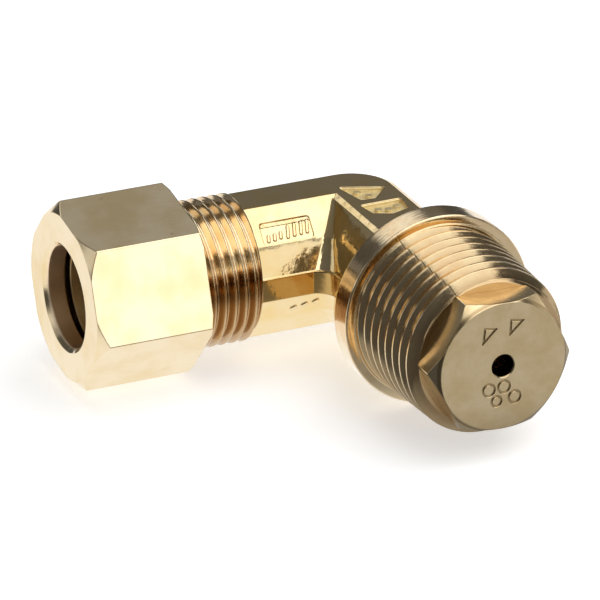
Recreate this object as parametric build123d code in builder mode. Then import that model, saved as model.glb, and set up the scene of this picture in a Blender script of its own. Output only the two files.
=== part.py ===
from build123d import *
import os

# Brass gas-burner elbow: a forged 90 degree body with a compression tube end and an orifice end.
# The compression leg runs along -X and the orifice leg runs along -Y from the origin.

# Forged body section
BODY_HALF_HEIGHT = 6.7
FLAT_EDGE = 2.4
FLAT_EDGE_INNER_B = 4.0
BREAK_OFFSET = 4.95
BREAK_OFFSET_INNER_B = 5.6
BREAK_HEIGHT = 3.75
LAND_INSET = 6.4
LAND_HALF_WIDTH = 6.6
LAND_HALF_HEIGHT = 1.15
BEND_RADIUS = 1.9
EDGE_CHAMFER = 0.35
BREAK_ROUND = 6.0
BREAK_BAND = 0.1
UPPER_BREAK = (BREAK_HEIGHT - BREAK_BAND, BREAK_HEIGHT + BREAK_BAND)
LOWER_BREAK = (-BREAK_HEIGHT - BREAK_BAND, -BREAK_HEIGHT + BREAK_BAND)

# Rounded inner corner where the arms meet: height, wall of arm B, wall of arm A, radius
CORNER_SECTIONS = (
    (6.45, 4.14, 2.62, 0.8),
    (BREAK_HEIGHT, BREAK_OFFSET_INNER_B, BREAK_OFFSET, 1.4),
    (LAND_HALF_HEIGHT, LAND_INSET, LAND_INSET, 2.2),
)
LAND_CORNER_ROUND = 2.3
CORNER_BITE = 0.12
CORNER_DEPTH = 0.6

# Compression leg: a 9/16-24 thread over a 3/8 inch tube socket
LEG_A_SHOULDER = 13.4
LEG_A_END = 25.5
LEG_A_MAJOR = 7.14
LEG_A_PITCH = 1.0583
LEG_A_DEPTH = 0.65
LEG_A_HALF_GROOVE = 0.463
SOCKET_RADIUS = 4.8
SOCKET_BOTTOM = 15.9
SEAT_MOUTH_RADIUS = 5.9
SEAT_DEPTH = 1.3

# Passage drilled through the body
PASSAGE_RADIUS = 3.2
DRILL_TIP = 1.8
DRILL_OVERRUN = 1.5

# Collar and tapered male thread of the orifice leg
COLLAR_BACK = 14.35
COLLAR_FRONT = 17.05
COLLAR_RADIUS = 9.525
COLLAR_EDGE = 0.12
COLLAR_STEP_RADIUS = 8.66
COLLAR_STEP = 0.12
LEG_B_PITCH = 1.4111
LEG_B_DEPTH = 0.95
LEG_B_HALF_GROOVE = 0.6
LEG_B_TAPER = 0.04
LEG_B_TAPER_DEGREES = 2.2906
LEG_B_ROOT = 16.8
LEG_B_RUN_IN = 1.1
LEG_B_RUN_OUT = 1.05
LEG_B_CREST_END = 27.45
LEG_B_CREST_RADIUS = 8.13
LEG_B_END = 27.93
RIM_RADIUS = 7.1
SPUD_MOUTH_RADIUS = 5.3
COUNTERSINK_DEPTH = 0.45
SPUD_BORE_RADIUS = 4.85
SPUD_BORE_BOTTOM = 18.6

# Compression nut: 5/8 inch across flats
NUT_FRONT = 31.0
NUT_BACK = 19.3
NUT_FLATS = 15.875
NUT_TURN = 10.8
NUT_FACE_RADIUS = 8.15
NUT_BACK_FACE_RADIUS = 8.55
NUT_CORNER_RADIUS = 9.17
NUT_FRONT_CHAMFER = 1.0
NUT_BACK_CHAMFER = 0.28
NUT_BORE_RADIUS = 4.95
NUT_MOUTH_RADIUS = 5.4
NUT_MOUTH_DEPTH = 0.45
NUT_CHAMBER_RADIUS = 6.3
NUT_CHAMBER_FRONT = 27.6
NUT_THREAD_END = 26.0
NUT_RELIEF_END = 26.8
NUT_RELIEF_RADIUS = 7.35
NUT_MINOR_RADIUS = 6.62
NUT_LEAD_IN = 0.8
THREAD_CLEARANCE = 0.08
NUT_GROOVE_REACH = 0.6
NUT_THREAD_PHASE = 5.5
NUT_THREAD_TURNS = 6.2
HEX_EDGE = 0.2

# Compression sleeve
SLEEVE_BORE = 4.85
SLEEVE_RADIUS = 5.75
SLEEVE_NOSE_RADIUS = 5.1
SLEEVE_NOSE = 24.75
SLEEVE_NOSE_LENGTH = 0.85
SLEEVE_TAIL = 28.3
SLEEVE_TAIL_CHAMFER = 0.6

# Orifice spud: 1/2 inch across flats with a 3/8-27 shank
SPUD_FRONT = 31.0
SPUD_BACK = 27.95
SPUD_FLATS = 12.7
SPUD_TURN = 58.6
SPUD_FACE_RADIUS = 6.35
SPUD_CORNER_RADIUS = 7.33
SPUD_CHAMFER = 1.0
SPUD_NECK = 27.2
SPUD_SHANK_END = 20.6
SPUD_MAJOR = 4.76
SPUD_NECK_RADIUS = 4.2
SPUD_PITCH = 0.9407
SPUD_DEPTH = 0.56
SPUD_HALF_GROOVE = 0.41
FEED_RADIUS = 2.6
FEED_FRONT = 28.6
ORIFICE_RADIUS = 1.09
ORIFICE_BACK = 29.4
ORIFICE_EDGE = 0.12
STAMP_DEPTH = 0.15
STAMP_LINE = 0.2
STAMP_RINGS = (
    (-1.45, -2.2, 0.6),
    (0.1, -2.1, 0.6),
    (-0.65, -3.45, 0.5),
    (1.2, -3.3, 0.6),
)
STAMP_TRIANGLES = (
    ((-2.0, 4.2), (-0.6, 3.95), (-2.2, 2.4)),
    ((0.66, 4.65), (2.15, 4.35), (0.57, 2.9)),
)

# Shallow die-sunk pockets with plain raised pads, where the forging carries its marks
POCKET_DEPTH = 0.4
PAD_HEIGHT = 0.25
PAD_RADIUS = 0.35
PADS = ((-1.6, -2.3), (-0.9, -3.5), (-1.5, -6.9), (-0.5, -7.2), (0.5, -6.8))
POCKET_ROUND = 0.25
FRONT_POCKET = ((-3.0, -0.8), (1.3, -2.5), (-0.7, -4.7), (-2.2, -4.6))
REAR_POCKET = ((-2.85, -5.65), (1.5, -5.6), (1.15, -8.1), (-0.75, -8.75), (-2.5, -7.9))

# Sunk panel with plain raised bars on the upper bevel of arm A, and bars on its lower bevel
PANEL_DEPTH = 0.12
PANEL_WIDTH = 5.2
PANEL_HEIGHT = 2.2
PANEL_DROP = 0.65
PANEL_ROUND = 0.3
SHORT_BARS = ((-2.0, -1.15), (-1.35, -1.1), (-0.7, -1.0))
TALL_BARS = ((0.1, -0.8), (0.8, -0.7), (1.5, -0.65), (2.15, -0.6))
SHORT_BAR = 0.8
TALL_BAR = 1.35
BAR_WIDTH = 0.3
BAR_LEAN = 78
BEVEL_CENTRE = (-9.75, -3.675, 5.225)
BEVEL_NORMAL = (0, -0.7565, 0.654)
LOWER_BARS = ((-0.9, -0.3), (0.2, -0.1), (1.3, 0.1))
LOWER_BAR_WIDTH = 0.4
LOWER_BAR_LEAN = 30
LOWER_BAR_HEIGHT = 0.1
LOWER_CENTRE = (-8.8, -5.675, -2.45)
LOWER_NORMAL = (0, -0.873, -0.487)

TAN_30 = 0.57735
COS_30 = 0.86603
GROOVE_OVERRUN = 0.1
THREAD_OVERRUN = 2
os.makedirs("parts", exist_ok=True)

# Male thread of the compression leg: one helical groove cut in a chamfered blank
with BuildPart() as leg_a_thread:
    with BuildSketch(Plane.XY):
        with BuildLine():
            Polyline(
                (-LEG_A_SHOULDER, 0),
                (-LEG_A_SHOULDER, LEG_A_MAJOR),
                (-LEG_A_END + LEG_A_DEPTH, LEG_A_MAJOR),
                (-LEG_A_END, LEG_A_MAJOR - LEG_A_DEPTH),
                (-LEG_A_END, 0),
                close=True,
            )
        make_face()
    revolve(axis=Axis.X)
    with BuildLine() as leg_a_helix:
        Helix(
            pitch=LEG_A_PITCH,
            height=LEG_A_END - LEG_A_SHOULDER + THREAD_OVERRUN * LEG_A_PITCH,
            radius=LEG_A_MAJOR,
            center=(-LEG_A_SHOULDER + LEG_A_PITCH, 0, 0),
            direction=(-1, 0, 0),
        )
    leg_a_start = leg_a_helix.line @ 0
    leg_a_out = Vector(0, leg_a_start.Y, leg_a_start.Z)
    with BuildSketch(Plane(origin=leg_a_start, x_dir=leg_a_out, z_dir=leg_a_helix.line % 0)):
        with BuildLine():
            Polyline(
                (GROOVE_OVERRUN, -LEG_A_HALF_GROOVE - GROOVE_OVERRUN * TAN_30),
                (GROOVE_OVERRUN, LEG_A_HALF_GROOVE + GROOVE_OVERRUN * TAN_30),
                (-LEG_A_DEPTH, LEG_A_HALF_GROOVE - LEG_A_DEPTH * TAN_30),
                (-LEG_A_DEPTH, -LEG_A_HALF_GROOVE + LEG_A_DEPTH * TAN_30),
                close=True,
            )
        make_face()
    sweep(path=leg_a_helix.line, is_frenet=True, mode=Mode.SUBTRACT)

# Tapered male thread of the orifice leg, with the collar it runs out against
with BuildPart() as leg_b_thread:
    with BuildSketch(Plane.XY):
        with BuildLine():
            Polyline(
                (0, -LEG_B_ROOT),
                (LEG_B_CREST_RADIUS + LEG_B_TAPER * (LEG_B_CREST_END - LEG_B_ROOT), -LEG_B_ROOT),
                (LEG_B_CREST_RADIUS, -LEG_B_CREST_END),
                (RIM_RADIUS, -LEG_B_END),
                (0, -LEG_B_END),
                close=True,
            )
        make_face()
    revolve(axis=Axis.Y)
    with BuildLine() as leg_b_helix:
        Helix(
            pitch=LEG_B_PITCH,
            height=LEG_B_END + LEG_B_RUN_IN - COLLAR_FRONT + LEG_B_RUN_OUT,
            radius=LEG_B_CREST_RADIUS - LEG_B_TAPER * (LEG_B_END + LEG_B_RUN_IN - LEG_B_CREST_END),
            center=(0, -LEG_B_END - LEG_B_RUN_IN, 0),
            direction=(0, 1, 0),
            cone_angle=LEG_B_TAPER_DEGREES,
        )
    leg_b_start = leg_b_helix.line @ 0
    leg_b_out = Vector(leg_b_start.X, 0, leg_b_start.Z)
    with BuildSketch(Plane(origin=leg_b_start, x_dir=leg_b_out, z_dir=leg_b_helix.line % 0)):
        with BuildLine():
            Polyline(
                (GROOVE_OVERRUN, -LEG_B_HALF_GROOVE - GROOVE_OVERRUN * TAN_30),
                (GROOVE_OVERRUN, LEG_B_HALF_GROOVE + GROOVE_OVERRUN * TAN_30),
                (-LEG_B_DEPTH, LEG_B_HALF_GROOVE - LEG_B_DEPTH * TAN_30),
                (-LEG_B_DEPTH, -LEG_B_HALF_GROOVE + LEG_B_DEPTH * TAN_30),
                close=True,
            )
        make_face()
    sweep(path=leg_b_helix.line, is_frenet=True, mode=Mode.SUBTRACT)

# Filler that rounds the inner corner of the forging, above, below and on the parting land
with BuildPart() as inner_corner:
    for side in (1, -1):
        for height, wall_b, wall_a, radius in CORNER_SECTIONS:
            corner = Vector(-wall_b + CORNER_BITE, -wall_a + CORNER_BITE)
            with BuildSketch(Plane.XY.offset(side * height)):
                with BuildLine():
                    Polyline(
                        (corner.X, corner.Y - radius),
                        (corner.X + CORNER_DEPTH, corner.Y - radius),
                        (corner.X + CORNER_DEPTH, corner.Y + CORNER_DEPTH),
                        (corner.X - radius, corner.Y + CORNER_DEPTH),
                        (corner.X - radius, corner.Y),
                    )
                    RadiusArc((corner.X, corner.Y - radius), (corner.X - radius, corner.Y), -radius)
                make_face()
        loft(ruled=True)
    land_corner = -LAND_HALF_WIDTH + CORNER_BITE
    with BuildSketch(Plane.XY.offset(-LAND_HALF_HEIGHT)):
        with BuildLine():
            Polyline(
                (land_corner, land_corner - LAND_CORNER_ROUND),
                (land_corner + CORNER_DEPTH, land_corner - LAND_CORNER_ROUND),
                (land_corner + CORNER_DEPTH, land_corner + CORNER_DEPTH),
                (land_corner - LAND_CORNER_ROUND, land_corner + CORNER_DEPTH),
                (land_corner - LAND_CORNER_ROUND, land_corner),
            )
            RadiusArc(
                (land_corner, land_corner - LAND_CORNER_ROUND),
                (land_corner - LAND_CORNER_ROUND, land_corner),
                -LAND_CORNER_ROUND,
            )
        make_face()
    extrude(amount=2 * LAND_HALF_HEIGHT)

# Forged elbow body with its collar, threads, socket and passage
with BuildPart() as elbow_body:
    # arm toward the compression leg
    with BuildSketch(Plane.YZ.offset(-LEG_A_SHOULDER)) as arm_a_section:
        with BuildLine():
            Polyline(
                (-FLAT_EDGE, BODY_HALF_HEIGHT),
                (-BREAK_OFFSET, BREAK_HEIGHT),
                (-LAND_INSET, LAND_HALF_HEIGHT),
                (-LAND_HALF_WIDTH, LAND_HALF_HEIGHT),
                (-LAND_HALF_WIDTH, -LAND_HALF_HEIGHT),
                (-LAND_INSET, -LAND_HALF_HEIGHT),
                (-BREAK_OFFSET, -BREAK_HEIGHT),
                (-FLAT_EDGE, -BODY_HALF_HEIGHT),
                (FLAT_EDGE, -BODY_HALF_HEIGHT),
                (BREAK_OFFSET, -BREAK_HEIGHT),
                (LAND_INSET, -LAND_HALF_HEIGHT),
                (LAND_HALF_WIDTH, -LAND_HALF_HEIGHT),
                (LAND_HALF_WIDTH, LAND_HALF_HEIGHT),
                (LAND_INSET, LAND_HALF_HEIGHT),
                (BREAK_OFFSET, BREAK_HEIGHT),
                (FLAT_EDGE, BODY_HALF_HEIGHT),
                close=True,
            )
        make_face()
        chamfer(arm_a_section.vertices().group_by(Axis.Y)[0], EDGE_CHAMFER)
        chamfer(arm_a_section.vertices().group_by(Axis.Y)[-1], EDGE_CHAMFER)
        fillet(arm_a_section.vertices().filter_by_position(Axis.Y, *UPPER_BREAK), BREAK_ROUND)
        fillet(arm_a_section.vertices().filter_by_position(Axis.Y, *LOWER_BREAK), BREAK_ROUND)
    extrude(amount=LEG_A_SHOULDER - BEND_RADIUS)
    # arm toward the orifice leg, wider on its inner side
    with BuildSketch(Plane.XZ.offset(BEND_RADIUS)) as arm_b_section:
        with BuildLine():
            Polyline(
                (-FLAT_EDGE_INNER_B, BODY_HALF_HEIGHT),
                (-BREAK_OFFSET_INNER_B, BREAK_HEIGHT),
                (-LAND_INSET, LAND_HALF_HEIGHT),
                (-LAND_HALF_WIDTH, LAND_HALF_HEIGHT),
                (-LAND_HALF_WIDTH, -LAND_HALF_HEIGHT),
                (-LAND_INSET, -LAND_HALF_HEIGHT),
                (-BREAK_OFFSET_INNER_B, -BREAK_HEIGHT),
                (-FLAT_EDGE_INNER_B, -BODY_HALF_HEIGHT),
                (FLAT_EDGE, -BODY_HALF_HEIGHT),
                (BREAK_OFFSET, -BREAK_HEIGHT),
                (LAND_INSET, -LAND_HALF_HEIGHT),
                (LAND_HALF_WIDTH, -LAND_HALF_HEIGHT),
                (LAND_HALF_WIDTH, LAND_HALF_HEIGHT),
                (LAND_INSET, LAND_HALF_HEIGHT),
                (BREAK_OFFSET, BREAK_HEIGHT),
                (FLAT_EDGE, BODY_HALF_HEIGHT),
                close=True,
            )
        make_face()
        chamfer(arm_b_section.vertices().group_by(Axis.Y)[0], EDGE_CHAMFER)
        chamfer(arm_b_section.vertices().group_by(Axis.Y)[-1], EDGE_CHAMFER)
        fillet(arm_b_section.vertices().filter_by_position(Axis.Y, *UPPER_BREAK), BREAK_ROUND)
        fillet(arm_b_section.vertices().filter_by_position(Axis.Y, *LOWER_BREAK), BREAK_ROUND)
    extrude(amount=COLLAR_BACK - BEND_RADIUS)
    # outer bend
    with BuildSketch(Plane.XZ.offset(BEND_RADIUS)) as bend_section:
        with BuildLine():
            Polyline(
                (-BEND_RADIUS, BODY_HALF_HEIGHT),
                (FLAT_EDGE, BODY_HALF_HEIGHT),
                (BREAK_OFFSET, BREAK_HEIGHT),
                (LAND_INSET, LAND_HALF_HEIGHT),
                (LAND_HALF_WIDTH, LAND_HALF_HEIGHT),
                (LAND_HALF_WIDTH, -LAND_HALF_HEIGHT),
                (LAND_INSET, -LAND_HALF_HEIGHT),
                (BREAK_OFFSET, -BREAK_HEIGHT),
                (FLAT_EDGE, -BODY_HALF_HEIGHT),
                (-BEND_RADIUS, -BODY_HALF_HEIGHT),
                close=True,
            )
        make_face()
        chamfer(bend_section.vertices().group_by(Axis.Y)[0].sort_by(Axis.X)[-1], EDGE_CHAMFER)
        chamfer(bend_section.vertices().group_by(Axis.Y)[-1].sort_by(Axis.X)[-1], EDGE_CHAMFER)
        fillet(bend_section.vertices().filter_by_position(Axis.Y, *UPPER_BREAK), BREAK_ROUND)
        fillet(bend_section.vertices().filter_by_position(Axis.Y, *LOWER_BREAK), BREAK_ROUND)
    revolve(axis=Axis((-BEND_RADIUS, -BEND_RADIUS, 0), (0, 0, 1)), revolution_arc=90)
    add(inner_corner.part)
    # two pockets on the top flat, each with plain raised pads
    with BuildSketch(Plane.XY.offset(BODY_HALF_HEIGHT)) as top_pockets:
        with BuildLine():
            Polyline(*FRONT_POCKET, close=True)
        make_face()
        with BuildLine():
            Polyline(*REAR_POCKET, close=True)
        make_face()
        fillet(top_pockets.vertices(), POCKET_ROUND)
    extrude(amount=-POCKET_DEPTH, mode=Mode.SUBTRACT)
    with BuildSketch(Plane.XY.offset(BODY_HALF_HEIGHT - POCKET_DEPTH)):
        with Locations(*PADS):
            Circle(PAD_RADIUS)
    extrude(amount=PAD_HEIGHT)
    # sunk panel on the upper bevel of arm A
    with BuildSketch(Plane(origin=BEVEL_CENTRE, x_dir=(1, 0, 0), z_dir=BEVEL_NORMAL)) as upper_panel:
        with Locations((0, -PANEL_DROP)):
            Rectangle(PANEL_WIDTH, PANEL_HEIGHT)
        fillet(upper_panel.vertices(), PANEL_ROUND)
    extrude(amount=-PANEL_DEPTH, mode=Mode.SUBTRACT)
    with BuildSketch(Plane(origin=BEVEL_CENTRE, x_dir=(1, 0, 0), z_dir=BEVEL_NORMAL)):
        with Locations(*SHORT_BARS):
            SlotOverall(SHORT_BAR, BAR_WIDTH, rotation=BAR_LEAN)
        with Locations(*TALL_BARS):
            SlotOverall(TALL_BAR, BAR_WIDTH, rotation=BAR_LEAN)
    extrude(amount=-PANEL_DEPTH)
    # raised bars on the lower bevel of arm A
    with BuildSketch(Plane(origin=LOWER_CENTRE, x_dir=(1, 0, 0), z_dir=LOWER_NORMAL)):
        with Locations(*LOWER_BARS):
            SlotOverall(SHORT_BAR, LOWER_BAR_WIDTH, rotation=LOWER_BAR_LEAN)
    extrude(amount=LOWER_BAR_HEIGHT)
    # collar
    with BuildSketch(Plane.XY):
        with BuildLine():
            Polyline(
                (0, -COLLAR_BACK),
                (COLLAR_RADIUS - COLLAR_EDGE, -COLLAR_BACK),
                (COLLAR_RADIUS, -COLLAR_BACK - COLLAR_EDGE),
                (COLLAR_RADIUS, -COLLAR_FRONT + COLLAR_EDGE),
                (COLLAR_RADIUS - COLLAR_EDGE, -COLLAR_FRONT),
                (COLLAR_STEP_RADIUS, -COLLAR_FRONT),
                (COLLAR_STEP_RADIUS, -COLLAR_FRONT - COLLAR_STEP),
                (0, -COLLAR_FRONT - COLLAR_STEP),
                close=True,
            )
        make_face()
    revolve(axis=Axis.Y)
    add(leg_a_thread.part)
    add(leg_b_thread.part)
    # tube socket with its sleeve seat, and the passage drilled on to the corner
    with BuildSketch(Plane.XY):
        with BuildLine():
            Polyline(
                (-LEG_A_END, 0),
                (-LEG_A_END, SEAT_MOUTH_RADIUS),
                (-LEG_A_END + SEAT_DEPTH, SOCKET_RADIUS),
                (-SOCKET_BOTTOM, SOCKET_RADIUS),
                (-SOCKET_BOTTOM, PASSAGE_RADIUS),
                (DRILL_OVERRUN, PASSAGE_RADIUS),
                (DRILL_OVERRUN + DRILL_TIP, 0),
                close=True,
            )
        make_face()
    revolve(axis=Axis.X, mode=Mode.SUBTRACT)
    # spud bore with its countersunk mouth, and the passage drilled on to the corner
    with BuildSketch(Plane.XY):
        with BuildLine():
            Polyline(
                (0, -LEG_B_END),
                (SPUD_MOUTH_RADIUS, -LEG_B_END),
                (SPUD_BORE_RADIUS, -LEG_B_END + COUNTERSINK_DEPTH),
                (SPUD_BORE_RADIUS, -SPUD_BORE_BOTTOM),
                (PASSAGE_RADIUS, -SPUD_BORE_BOTTOM + DRILL_TIP),
                (PASSAGE_RADIUS, DRILL_OVERRUN),
                (0, DRILL_OVERRUN + DRILL_TIP),
                close=True,
            )
        make_face()
    revolve(axis=Axis.Y, mode=Mode.SUBTRACT)
elbow_body.part.label = "elbow_body"
export_step(elbow_body.part, "parts/elbow_body.step")

# Compression nut
with BuildPart() as compression_nut:
    with BuildSketch(Plane.YZ.offset(-NUT_FRONT)) as nut_hex:
        RegularPolygon(NUT_FLATS / 2, 6, major_radius=False, rotation=NUT_TURN)
        fillet(nut_hex.vertices(), HEX_EDGE)
    extrude(amount=NUT_FRONT - NUT_BACK)
    with BuildSketch(Plane.XY):
        with BuildLine():
            Polyline(
                (-NUT_FRONT, 0),
                (-NUT_FRONT, NUT_FACE_RADIUS),
                (-NUT_FRONT + NUT_FRONT_CHAMFER, NUT_CORNER_RADIUS),
                (-NUT_BACK - NUT_BACK_CHAMFER, NUT_CORNER_RADIUS),
                (-NUT_BACK, NUT_BACK_FACE_RADIUS),
                (-NUT_BACK, 0),
                close=True,
            )
        make_face()
    revolve(axis=Axis.X, mode=Mode.INTERSECT)
    with BuildSketch(Plane.XY):
        with BuildLine():
            Polyline(
                (-NUT_FRONT, 0),
                (-NUT_FRONT, NUT_MOUTH_RADIUS),
                (-NUT_FRONT + NUT_MOUTH_DEPTH, NUT_BORE_RADIUS),
                (-NUT_CHAMBER_FRONT - NUT_CHAMBER_RADIUS + NUT_BORE_RADIUS, NUT_BORE_RADIUS),
                (-NUT_CHAMBER_FRONT, NUT_CHAMBER_RADIUS),
                (-NUT_RELIEF_END, NUT_CHAMBER_RADIUS),
                (-NUT_RELIEF_END, NUT_RELIEF_RADIUS),
                (-NUT_THREAD_END, NUT_RELIEF_RADIUS),
                (-NUT_THREAD_END, NUT_MINOR_RADIUS),
                (-NUT_BACK - NUT_LEAD_IN, NUT_MINOR_RADIUS),
                (-NUT_BACK, NUT_RELIEF_RADIUS),
                (-NUT_BACK, 0),
                close=True,
            )
        make_face()
    revolve(axis=Axis.X, mode=Mode.SUBTRACT)
    # internal thread in phase with the thread of the compression leg
    with BuildLine() as nut_helix:
        Helix(
            pitch=LEG_A_PITCH,
            height=LEG_A_PITCH * NUT_THREAD_TURNS,
            radius=LEG_A_MAJOR,
            center=(-LEG_A_SHOULDER - LEG_A_PITCH * NUT_THREAD_PHASE, 0, 0),
            direction=(-1, 0, 0),
        )
    nut_start = nut_helix.line @ 0
    nut_out = Vector(0, nut_start.Y, nut_start.Z)
    nut_half_crest = LEG_A_PITCH / 2 - LEG_A_HALF_GROOVE + THREAD_CLEARANCE / COS_30
    with BuildSketch(Plane(origin=nut_start, x_dir=nut_out, z_dir=nut_helix.line % 0)):
        with BuildLine():
            Polyline(
                (THREAD_CLEARANCE, -nut_half_crest + THREAD_CLEARANCE * TAN_30),
                (THREAD_CLEARANCE, nut_half_crest - THREAD_CLEARANCE * TAN_30),
                (-NUT_GROOVE_REACH, nut_half_crest + NUT_GROOVE_REACH * TAN_30),
                (-NUT_GROOVE_REACH, -nut_half_crest - NUT_GROOVE_REACH * TAN_30),
                close=True,
            )
        make_face()
    sweep(path=nut_helix.line, is_frenet=True, mode=Mode.SUBTRACT)
compression_nut.part.label = "compression_nut"
export_step(compression_nut.part, "parts/compression_nut.step")

# Compression sleeve, loose inside the nut
with BuildPart() as compression_sleeve:
    with BuildSketch(Plane.XY):
        with BuildLine():
            Polyline(
                (-SLEEVE_NOSE, SLEEVE_BORE),
                (-SLEEVE_NOSE, SLEEVE_NOSE_RADIUS),
                (-SLEEVE_NOSE - SLEEVE_NOSE_LENGTH, SLEEVE_RADIUS),
                (-SLEEVE_TAIL + SLEEVE_TAIL_CHAMFER, SLEEVE_RADIUS),
                (-SLEEVE_TAIL, SLEEVE_RADIUS - SLEEVE_TAIL_CHAMFER),
                (-SLEEVE_TAIL, SLEEVE_BORE),
                close=True,
            )
        make_face()
    revolve(axis=Axis.X)
compression_sleeve.part.label = "compression_sleeve"
export_step(compression_sleeve.part, "parts/compression_sleeve.step")

# Orifice spud: hex head with a drilled jet and a threaded shank
with BuildPart() as orifice_spud:
    with BuildSketch(Plane.XZ.offset(SPUD_BACK)) as spud_hex:
        RegularPolygon(SPUD_FLATS / 2, 6, major_radius=False, rotation=SPUD_TURN)
        fillet(spud_hex.vertices(), HEX_EDGE)
    extrude(amount=SPUD_FRONT - SPUD_BACK)
    with BuildSketch(Plane.XY):
        with BuildLine():
            Polyline(
                (0, -SPUD_FRONT),
                (SPUD_FACE_RADIUS, -SPUD_FRONT),
                (SPUD_CORNER_RADIUS, -SPUD_FRONT + SPUD_CHAMFER),
                (SPUD_CORNER_RADIUS, -SPUD_BACK),
                (0, -SPUD_BACK),
                close=True,
            )
        make_face()
    revolve(axis=Axis.Y, mode=Mode.INTERSECT)
    with BuildSketch(Plane.XY):
        with BuildLine():
            Polyline(
                (0, -SPUD_BACK),
                (SPUD_MAJOR, -SPUD_BACK),
                (SPUD_MAJOR, -SPUD_SHANK_END - SPUD_DEPTH),
                (SPUD_MAJOR - SPUD_DEPTH, -SPUD_SHANK_END),
                (0, -SPUD_SHANK_END),
                close=True,
            )
        make_face()
    revolve(axis=Axis.Y)
    with BuildLine() as spud_helix:
        Helix(
            pitch=SPUD_PITCH,
            height=SPUD_NECK - SPUD_SHANK_END + SPUD_PITCH,
            radius=SPUD_MAJOR,
            center=(0, -SPUD_NECK, 0),
            direction=(0, 1, 0),
        )
    spud_start = spud_helix.line @ 0
    spud_out = Vector(spud_start.X, 0, spud_start.Z)
    with BuildSketch(Plane(origin=spud_start, x_dir=spud_out, z_dir=spud_helix.line % 0)):
        with BuildLine():
            Polyline(
                (GROOVE_OVERRUN, -SPUD_HALF_GROOVE - GROOVE_OVERRUN * TAN_30),
                (GROOVE_OVERRUN, SPUD_HALF_GROOVE + GROOVE_OVERRUN * TAN_30),
                (-SPUD_DEPTH, SPUD_HALF_GROOVE - SPUD_DEPTH * TAN_30),
                (-SPUD_DEPTH, -SPUD_HALF_GROOVE + SPUD_DEPTH * TAN_30),
                close=True,
            )
        make_face()
    sweep(path=spud_helix.line, is_frenet=True, mode=Mode.SUBTRACT)
    # neck relief behind the head
    with BuildSketch(Plane.XY):
        with BuildLine():
            Polyline(
                (SPUD_NECK_RADIUS, -SPUD_BACK),
                (SPUD_MAJOR + GROOVE_OVERRUN, -SPUD_BACK),
                (SPUD_MAJOR + GROOVE_OVERRUN, -SPUD_NECK + SPUD_DEPTH),
                (SPUD_NECK_RADIUS, -SPUD_NECK),
                close=True,
            )
        make_face()
    revolve(axis=Axis.Y, mode=Mode.SUBTRACT)
    # jet and feed bore
    with BuildSketch(Plane.XY):
        with BuildLine():
            Polyline(
                (0, -SPUD_FRONT),
                (ORIFICE_RADIUS + ORIFICE_EDGE, -SPUD_FRONT),
                (ORIFICE_RADIUS, -SPUD_FRONT + ORIFICE_EDGE),
                (ORIFICE_RADIUS, -ORIFICE_BACK),
                (FEED_RADIUS, -FEED_FRONT),
                (FEED_RADIUS, -SPUD_SHANK_END),
                (0, -SPUD_SHANK_END),
                close=True,
            )
        make_face()
    revolve(axis=Axis.Y, mode=Mode.SUBTRACT)
    # plain rings and open triangles struck into the face
    for ring_x, ring_z, ring_radius in STAMP_RINGS:
        with BuildSketch(Plane.XZ.offset(SPUD_FRONT)):
            with Locations((ring_x, ring_z)):
                Circle(ring_radius + STAMP_LINE / 2)
                Circle(ring_radius - STAMP_LINE / 2, mode=Mode.SUBTRACT)
        extrude(amount=-STAMP_DEPTH, mode=Mode.SUBTRACT)
    for corners in STAMP_TRIANGLES:
        with BuildSketch(Plane.XZ.offset(SPUD_FRONT)):
            with BuildLine():
                Polyline(*corners, close=True)
            make_face()
            offset(amount=-STAMP_LINE, mode=Mode.SUBTRACT)
        extrude(amount=-STAMP_DEPTH, mode=Mode.SUBTRACT)
orifice_spud.part.label = "orifice_spud"
export_step(orifice_spud.part, "parts/orifice_spud.step")
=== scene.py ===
import math

import bpy
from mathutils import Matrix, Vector

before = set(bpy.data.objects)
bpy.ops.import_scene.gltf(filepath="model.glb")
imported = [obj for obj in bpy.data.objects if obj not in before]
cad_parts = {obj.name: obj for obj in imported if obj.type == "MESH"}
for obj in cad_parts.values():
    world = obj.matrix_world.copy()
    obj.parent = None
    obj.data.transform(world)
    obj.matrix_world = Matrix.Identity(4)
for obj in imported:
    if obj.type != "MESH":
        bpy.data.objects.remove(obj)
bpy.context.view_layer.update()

MM = 0.001
RELIEF = 0.004 * MM

# ---------------------------------------------------------------- places on the object
# in millimetres, and angles round an axis in radians from the top
NUT_FACE = -31.0
SPUD_FACE = -31.0
NUT_BORE_RADIUS = 4.95
LEG_A_SHOULDER = -13.4
LEG_A_CREST = 7.14
COLLAR_BACK = -14.35
COLLAR_FRONT = -17.05
LEG_B_CREST_END = -27.45
LEG_B_CREST_RADIUS = 8.13
LEG_B_TAPER = 0.04
SEAM_ANGLE = math.radians(27.5)
SEAM_HALF_WIDTHS = (0.004, 0.011)
UNDERSIDE_SHADE_ANGLES = (1.15, 1.3)
TOP_FLAT = 6.7
POCKET_FLOOR = 6.3
POCKET_SIDES = (-3.3, -3.1, 1.6, 1.8)
FLASH_HALF_HEIGHT = 1.15
INNER_CORNER = -2.4
JET_RADIUS = 1.09

# ---------------------------------------------------------------- floor and camera
FLOOR_HEIGHT = -9.6 * MM
FLOOR_SIZE = 6.0
FLOOR_GLOW = 0.52
CAMERA_PLACE = (-0.23143, -0.49515, 0.23971)
CAMERA_AIM = (0.37723, 0.83040, -0.41005)
CAMERA_LENS = 371.7
CAMERA_SENSOR = 36.0
CAMERA_REACH = (0.05, 20.0)

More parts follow.
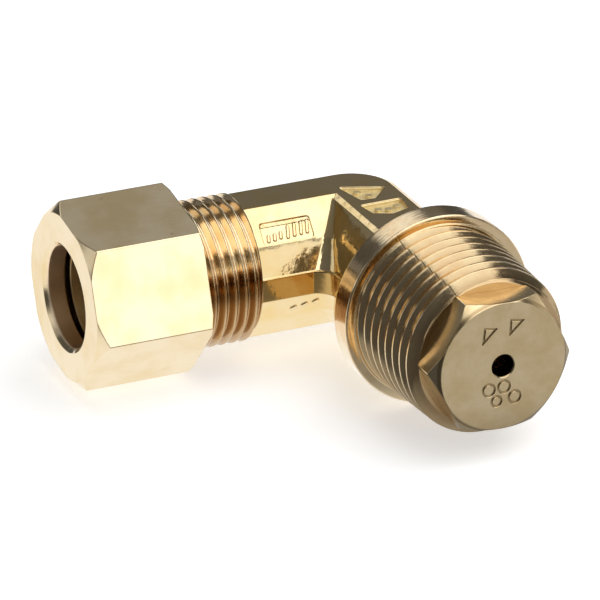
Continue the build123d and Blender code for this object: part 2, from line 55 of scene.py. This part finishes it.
# ---------------------------------------------------------------- brass colours
PALE = (0.88, 0.73, 0.49, 1.0)
PALE_STAINED = (0.82, 0.64, 0.36, 1.0)
BORE = (0.92, 0.72, 0.50, 1.0)
GOLD = (0.87, 0.68, 0.38, 1.0)
GOLD_STAINED = (0.86, 0.64, 0.30, 1.0)
WARM_TINT_AND_REFLECTION = (0.89, 0.69, 0.40, 1.0)
WARM_TINT_AND_REFLECTION_STAINED = (0.82, 0.58, 0.32, 1.0)
SPUD = (0.80, 0.64, 0.40, 1.0)
SPUD_STAINED = (0.72, 0.55, 0.30, 1.0)
POCKET_GOLD_AND_LIGHT = (1.0, 0.86, 0.5, 1.0)
FLASH = (0.50, 0.32, 0.11, 1.0)
SHADE_BROWN = (0.42, 0.25, 0.11, 1.0)
STRUCK = (0.30, 0.20, 0.09, 1.0)
SEAM = (0.12, 0.08, 0.04, 1.0)
JET_SHADE = (0.05, 0.035, 0.02, 1.0)


# ---------------------------------------------------------------- node helpers
class Net:
    """Builds shader nodes in one tree; every value passed in may be a number or a socket."""

    def __init__(self, tree):
        self.tree = tree
        tree.nodes.clear()

    def node(self, kind, **props):
        made = self.tree.nodes.new(kind)
        for key, value in props.items():
            setattr(made, key, value)
        return made

    def feed(self, socket, value):
        if isinstance(value, bpy.types.NodeSocket):
            self.tree.links.new(value, socket)
        elif value is not None:
            socket.default_value = value

    def feed_all(self, made, **values):
        for name, value in values.items():
            self.feed(made.inputs[name.replace("_", " ")], value)

    def math(self, op, a, b=None):
        made = self.node("ShaderNodeMath", operation=op)
        self.feed(made.inputs[0], a)
        self.feed(made.inputs[1], b)
        return made.outputs[0]

    def sum(self, first, *others):
        total = first
        for value in others:
            total = self.math("ADD", total, value)
        return total

    def product(self, first, *others):
        total = first
        for value in others:
            total = self.math("MULTIPLY", total, value)
        return total

    def radius(self, a, b):
        """Distance from an axis, given the two places across it."""
        return self.math("SQRT", self.sum(self.product(a, a), self.product(b, b)))

    def split(self, vector):
        made = self.node("ShaderNodeSeparateXYZ")
        self.feed(made.inputs[0], vector)
        return made.outputs

    def join(self, x, y, z):
        made = self.node("ShaderNodeCombineXYZ")
        self.feed_all(made, X=x, Y=y, Z=z)
        return made.outputs[0]

    def vec(self, op, a, b=None):
        made = self.node("ShaderNodeVectorMath", operation=op)
        self.feed(made.inputs[0], a)
        self.feed(made.inputs[1], b)
        return made.outputs["Vector"]

    def millimetres(self, vector):
        """Place in metres turned into millimetres."""
        made = self.node("ShaderNodeVectorMath", operation="SCALE")
        self.feed_all(made, Vector=vector, Scale=1.0 / MM)
        return made.outputs["Vector"]

    def ramp(self, value, start, end, low=0.0, high=1.0):
        """Smooth step from low at start to high at end."""
        made = self.node("ShaderNodeMapRange", interpolation_type="SMOOTHSTEP")
        self.feed_all(made, Value=value, From_Min=start, From_Max=end, To_Min=low, To_Max=high)
        return made.outputs[0]

    def mix(self, share, a, b):
        """Colour a where share is 0, colour b where it is 1."""
        made = self.node("ShaderNodeMix", data_type="RGBA")
        self.feed(made.inputs[0], share)
        self.feed(made.inputs[6], a)
        self.feed(made.inputs[7], b)
        return made.outputs[2]

    def blend(self, share, a, b):
        """Number a where share is 0, number b where it is 1."""
        made = self.node("ShaderNodeMix", data_type="FLOAT")
        self.feed(made.inputs[0], share)
        self.feed(made.inputs[2], a)
        self.feed(made.inputs[3], b)
        return made.outputs[0]

    def noise(self, vector, scale, detail=2.0, rough=0.5):
        made = self.node("ShaderNodeTexNoise")
        self.feed_all(made, Vector=vector, Scale=scale, Detail=detail, Roughness=rough)
        return made.outputs[0]

    def noise_along(self, place, scale, detail=2.0):
        made = self.node("ShaderNodeTexNoise", noise_dimensions="1D")
        self.feed_all(made, W=place, Scale=scale, Detail=detail)
        return made.outputs[0]

    def cells(self, vector, scale):
        made = self.node("ShaderNodeTexVoronoi")
        self.feed_all(made, Vector=vector, Scale=scale)
        return made.outputs["Distance"]

    def relief(self, height, edge_radius, depth=RELIEF):
        """Normal with edges rounded to edge_radius millimetres and height added as a bump."""
        edges = self.node("ShaderNodeBevel", samples=8)
        self.feed_all(edges, Radius=edge_radius * MM)
        made = self.node("ShaderNodeBump")
        self.feed_all(made, Strength=1.0, Distance=depth, Height=height, Normal=edges.outputs[0])
        return made.outputs[0]

    def white_glow(self, strength):
        made = self.node("ShaderNodeEmission")
        self.feed_all(made, Color=(1.0, 1.0, 1.0, 1.0), Strength=strength)
        return made.outputs[0]

    def show(self, shader, kind="ShaderNodeOutputMaterial"):
        """Sends a shader to the tree's output."""
        self.feed_all(self.node(kind), Surface=shader)


def brass_net(name):
    """New material with its node builder and the place on the piece in millimetres."""
    material = bpy.data.materials.new(name)
    material.use_nodes = True
    net = Net(material.node_tree)
    place = net.node("ShaderNodeTexCoord").outputs["Object"]
    return material, net, net.millimetres(place)


def finish_brass(material, net, colour, rough, normal):
    shader = net.node("ShaderNodeBsdfPrincipled")
    net.feed_all(shader, Base_Color=colour, Roughness=rough, Normal=normal, Metallic=1.0)
    net.show(shader.outputs[0])
    return material


# ---------------------------------------------------------------- materials
def nut_brass():
    """Drawn flats with lengthwise streaks and a few nicks, a turned end face and a duller bore."""
    material, net, p = brass_net("nut_brass")
    x, y, z = net.split(p)
    r = net.radius(y, z)
    end_face = net.ramp(x, NUT_FACE + 0.1, NUT_FACE)
    bore = net.ramp(r, NUT_BORE_RADIUS + 0.25, NUT_BORE_RADIUS - 0.05)
    streaks = net.noise(net.join(net.product(x, 0.12), y, z), 5.0, 4.0, 0.6)
    rings = net.noise_along(r, 4.0)
    patches = net.noise(p, 0.22, 3.0)
    grain = net.noise(p, 3.0, 1.0)
    nicks = net.ramp(net.cells(net.vec("ADD", p, (3.1, 0.0, 1.7)), 0.55), 0.0, 0.1, 1.0, 0.0)
    lines = net.blend(end_face, streaks, rings)
    height = net.sum(net.product(lines, 0.5), net.product(grain, 0.5), net.product(nicks, -2.0))
    colour = net.mix(net.ramp(patches, 0.35, 0.7), PALE, PALE_STAINED)
    colour = net.mix(bore, colour, BORE)
    rough = net.ramp(net.sum(patches, net.product(streaks, 0.4)), 0.4, 1.0, 0.10, 0.17)
    rough = net.blend(bore, rough, 0.38)
    return finish_brass(material, net, colour, rough, net.relief(height, 0.14))


def forged_skin(net, p, pocket):
    """Relief and roughness of the tumbled forging, most uneven by the inner corner and in the pockets."""
    x, y, _ = net.split(p)
    swell = net.noise(p, 0.28)
    lumps = net.noise(p, 1.1, 3.0, 0.55)
    skin = net.noise(p, 2.6)
    pits = net.ramp(net.cells(p, 1.6), 0.0, 0.16, 1.0, 0.0)
    inner_x = net.ramp(x, INNER_CORNER, INNER_CORNER - 1.0)
    inner_y = net.ramp(y, INNER_CORNER, INNER_CORNER - 1.0)
    lump_depth = net.blend(net.product(inner_x, inner_y), 1.6, 5.0)
    pocket_lumps = net.product(net.noise(p, 2.4, 3.0, 0.6), pocket, 40.0)
    height = net.sum(
        net.product(swell, 16.0),
        net.product(lumps, lump_depth),
        net.product(skin, 0.5),
        net.product(pits, -0.9),
        pocket_lumps,
    )
    rough = net.blend(pocket, net.ramp(lumps, 0.3, 0.7, 0.06, 0.12), 0.6)
    return height, rough


def forged_colour(net, z, stain, pocket):
    """Gold skin, the darker band where the flash was trimmed and lighter pocket floors, partly painted
    light from above.
    """
    colour = net.mix(net.ramp(stain, 0.35, 0.7), GOLD, GOLD_STAINED)
    land = net.ramp(net.math("ABSOLUTE", z), FLASH_HALF_HEIGHT + 0.03, FLASH_HALF_HEIGHT - 0.05)
    colour = net.mix(land, colour, FLASH)
    # Pocket floors in a lighter gold: partly their own tone, partly painted light from above.
    return net.mix(net.product(pocket, 0.8), colour, POCKET_GOLD_AND_LIGHT)


def turned_skin(net, p, leg_a, seam, radius_a, radius_b):
    """Relief and roughness of the machined legs: fine lines round each axis and the seam."""
    x, y, _ = net.split(p)
    lines_a = net.noise_along(net.sum(x, net.product(radius_a, 0.7)), 3.5)
    lines_b = net.noise_along(net.sum(y, net.product(radius_b, 0.7)), 3.5)
    chatter = net.noise(p, 2.2)
    lines = net.blend(leg_a, lines_b, lines_a)
    height = net.sum(net.product(lines, 1.5), net.product(chatter, 1.2), net.product(seam, -5.0))
    return height, net.ramp(chatter, 0.3, 0.7, 0.09, 0.16)


def turned_colour(net, p, stain, leg_a, leg_b, seam, radius_a, radius_b):
    """Pale legs, with painted shade in the thread roots and on the underside of the compression thread.
    """
    _, y, z = net.split(p)
    crest_b = net.sum(net.product(net.sum(y, -LEG_B_CREST_END), LEG_B_TAPER), LEG_B_CREST_RADIUS)
    # Painted shade: brown in the thread roots of leg A, strongest on the underside, and brown over the
    # underside of the compression thread.
    root_shade_a = net.product(net.ramp(radius_a, LEG_A_CREST - 0.02, LEG_A_CREST - 0.39), leg_a)
    root_shade_b = net.product(net.ramp(net.math("SUBTRACT", crest_b, radius_b), 0.15, 0.9), leg_b)
    underside_shade = net.ramp(net.math("ARCTAN2", net.product(y, -1.0), z), *UNDERSIDE_SHADE_ANGLES)
    # Leg B takes a warmer brass: partly its own tone, partly painted warm interreflection.
    colour = net.mix(net.ramp(stain, 0.3, 0.75), net.mix(leg_b, PALE, WARM_TINT_AND_REFLECTION), WARM_TINT_AND_REFLECTION_STAINED)
    colour = net.mix(net.product(root_shade_a, net.blend(underside_shade, 0.1, 0.9)), colour, SHADE_BROWN)
    colour = net.mix(net.product(underside_shade, leg_a, 0.7), colour, SHADE_BROWN)
    # Painted shade: brown in the thread roots of leg B.
    colour = net.mix(net.product(root_shade_b, 0.45), colour, SHADE_BROWN)
    return net.mix(net.product(seam, 0.5), colour, SEAM)


def elbow_brass():
    """Forging with two machined ends."""
    material, net, p = brass_net("elbow_brass")
    x, y, z = net.split(p)
    radius_a = net.radius(y, z)
    radius_b = net.radius(x, z)
    leg_a = net.ramp(x, LEG_A_SHOULDER + 0.05, LEG_A_SHOULDER - 0.05)
    leg_b = net.ramp(y, COLLAR_FRONT + 0.05, COLLAR_FRONT - 0.05)
    forged_a = net.ramp(x, LEG_A_SHOULDER - 0.05, LEG_A_SHOULDER + 0.05)
    forged = net.product(forged_a, net.ramp(y, COLLAR_BACK - 0.01, COLLAR_BACK + 0.05))
    left_out, left_in, right_in, right_out = POCKET_SIDES
    pocket = net.product(
        net.ramp(z, TOP_FLAT - 0.08, TOP_FLAT - 0.2),
        net.ramp(z, POCKET_FLOOR - 0.15, POCKET_FLOOR - 0.05),
        net.ramp(x, left_out, left_in),
        net.ramp(x, right_out, right_in),
    )
    angle = net.math("ARCTAN2", net.product(x, -1.0), z)
    off_seam = net.math("ABSOLUTE", net.math("SUBTRACT", angle, SEAM_ANGLE))
    seam = net.product(net.ramp(off_seam, *SEAM_HALF_WIDTHS, 1.0, 0.0), leg_b)
    stain = net.noise(p, 0.35, 3.0, 0.55)
    forged_height, forged_rough = forged_skin(net, p, pocket)
    turned_height, turned_rough = turned_skin(net, p, leg_a, seam, radius_a, radius_b)
    turned = turned_colour(net, p, stain, leg_a, leg_b, seam, radius_a, radius_b)
    colour = net.mix(forged, turned, forged_colour(net, z, stain, pocket))
    height = net.blend(forged, turned_height, forged_height)
    rough = net.blend(forged, turned_rough, forged_rough)
    return finish_brass(material, net, colour, rough, net.relief(height, 0.16))


def spud_brass():
    """Mottled hex with a turned face, dark struck marks and painted shade in the jet hole."""
    material, net, p = brass_net("spud_brass")
    x, y, z = net.split(p)
    r = net.radius(x, z)
    face = net.ramp(y, SPUD_FACE + 0.4, SPUD_FACE + 0.2)
    rings = net.noise_along(r, 4.0)
    streaks = net.noise(net.join(x, net.product(y, 0.15), z), 4.5, 4.0, 0.6)
    mottle = net.noise(p, 0.5, 4.0, 0.6)
    grain = net.noise(p, 3.5, 1.0)
    lines = net.blend(face, streaks, rings)
    height = net.sum(net.product(lines, 0.8), net.product(grain, 0.5), net.product(mottle, 1.6))
    struck = net.product(net.ramp(y, SPUD_FACE + 0.03, SPUD_FACE + 0.1), face)
    # Painted shade: the jet hole is painted near black.
    jet_shade = net.ramp(r, JET_RADIUS + 0.11, JET_RADIUS - 0.04)
    colour = net.mix(net.ramp(mottle, 0.3, 0.7), SPUD, SPUD_STAINED)
    colour = net.mix(net.product(struck, 0.65), colour, STRUCK)
    colour = net.mix(net.product(jet_shade, 0.9), colour, JET_SHADE)
    rough = net.ramp(mottle, 0.3, 0.7, 0.17, 0.25)
    return finish_brass(material, net, colour, rough, net.relief(height, 0.1))


def sleeve_brass():
    """Plain turned ferrule with lines round it."""
    material, net, p = brass_net("sleeve_brass")
    x, _, _ = net.split(p)
    lines = net.noise_along(x, 12.0, 4.0)
    stain = net.noise(p, 0.6, 3.0)
    colour = net.mix(net.ramp(stain, 0.3, 0.7), PALE, GOLD)
    rough = net.ramp(stain, 0.3, 0.7, 0.3, 0.4)
    return finish_brass(material, net, colour, rough, net.relief(lines, 0.08, 0.006 * MM))


LOOKS = {
    "elbow_body": elbow_brass,
    "compression_nut": nut_brass,
    "compression_sleeve": sleeve_brass,
    "orifice_spud": spud_brass,
}
for node_name, make_brass in LOOKS.items():
    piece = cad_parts[node_name]
    piece.data.materials.clear()
    piece.data.materials.append(make_brass())


# ---------------------------------------------------------------- floor
def floor_white():
    """White to the camera, and a white sheet with a darker near left part in the brass's reflections."""
    material = bpy.data.materials.new("floor_white")
    material.use_nodes = True
    net = Net(material.node_tree)
    place = net.node("ShaderNodeTexCoord").outputs["Object"]
    x, y, _ = net.split(net.millimetres(place))
    diffuse = net.node("ShaderNodeBsdfDiffuse")
    net.feed_all(diffuse, Color=(0.9, 0.9, 0.9, 1.0))
    to_camera = net.node("ShaderNodeAddShader")
    net.feed(to_camera.inputs[0], diffuse.outputs[0])
    net.feed(to_camera.inputs[1], net.white_glow(FLOOR_GLOW))
    front = net.ramp(y, -10.0, -25.0)
    near_left = net.product(net.ramp(x, -4.0, -14.0), net.ramp(y, -27.0, -34.0))
    sheet = net.blend(front, 1.05, net.ramp(y, -32.0, -44.0, 0.30, 0.55))
    chosen = net.node("ShaderNodeMixShader")
    net.feed(chosen.inputs[0], net.node("ShaderNodeLightPath").outputs["Is Camera Ray"])
    net.feed(chosen.inputs[1], net.white_glow(net.blend(near_left, sheet, 0.08)))
    net.feed(chosen.inputs[2], to_camera.outputs[0])
    net.show(chosen.outputs[0])
    return material


bpy.ops.mesh.primitive_plane_add(size=FLOOR_SIZE, location=(0, 0, FLOOR_HEIGHT))
floor = bpy.context.object
floor.name = "floor"
floor.data.materials.append(floor_white())

# ---------------------------------------------------------------- studio surround
# Light cards in degrees: middle azimuth (0 is the front, + to the right), half width,
# middle height, half height, soft edge, and then brightness
CARDS = (
    (20, 22, 12, 13, 3, 1.9),
    (20, 22, 30, 10, 4, 1.35),
    (155, 14, 23, 9, 5, 0.19),
    (52, 88, 69, 31, 5, 2.2),
    (0, 181, 90, 17, 4, 1.5),
    (180, 24, 40, 12, 4, 1.3),
    (138, 24, 42, 8, 7, 0.5),
    (-101, 24, 14, 7, 4, 1.4),
    (-101, 24, 27, 9, 5, 0.9),
    (-147, 18, 9, 9, 5, 0.22),
    (88, 11, 14, 24, 5, 1.2),
)


def light_the_studio():
    """Dim surround, lighter overhead, with soft-edged light cards."""
    world = bpy.data.worlds.new("studio")
    bpy.context.scene.world = world
    world.use_nodes = True
    net = Net(world.node_tree)
    x, y, z = net.split(net.vec("NORMALIZE", net.node("ShaderNodeTexCoord").outputs["Generated"]))
    azimuth = net.math("DEGREES", net.math("ARCTAN2", x, net.product(y, -1.0)))
    height = net.math("DEGREES", net.math("ARCSINE", z))
    level = net.ramp(height, 5.0, 80.0, 0.09, 0.22)
    for card_azimuth, half_width, card_height, half_height, soft, brightness in CARDS:
        turn = net.node("ShaderNodeMath", operation="WRAP")
        net.feed(turn.inputs[0], net.math("SUBTRACT", azimuth, card_azimuth))
        net.feed(turn.inputs[1], 180.0)
        net.feed(turn.inputs[2], -180.0)
        across = net.ramp(net.math("ABSOLUTE", turn.outputs[0]), half_width, half_width - soft)
        rise = net.math("ABSOLUTE", net.math("SUBTRACT", height, card_height))
        upright = net.ramp(rise, half_height, half_height - soft)
        level = net.math("MAXIMUM", level, net.product(across, upright, brightness))
    sky = net.node("ShaderNodeBackground")
    net.feed_all(sky, Strength=level)
    net.show(sky.outputs[0], "ShaderNodeOutputWorld")


light_the_studio()

# ---------------------------------------------------------------- camera
camera_data = bpy.data.cameras.new("camera")
camera_data.sensor_width = CAMERA_SENSOR
camera_data.lens = CAMERA_LENS
camera_data.clip_start, camera_data.clip_end = CAMERA_REACH
camera = bpy.data.objects.new("camera", camera_data)
camera.location = CAMERA_PLACE
camera.rotation_mode = "QUATERNION"
camera.rotation_quaternion = Vector(CAMERA_AIM).to_track_quat("-Z", "Y")
bpy.context.scene.collection.objects.link(camera)
bpy.context.scene.camera = camera
bpy.context.scene.view_settings.view_transform = "Standard"
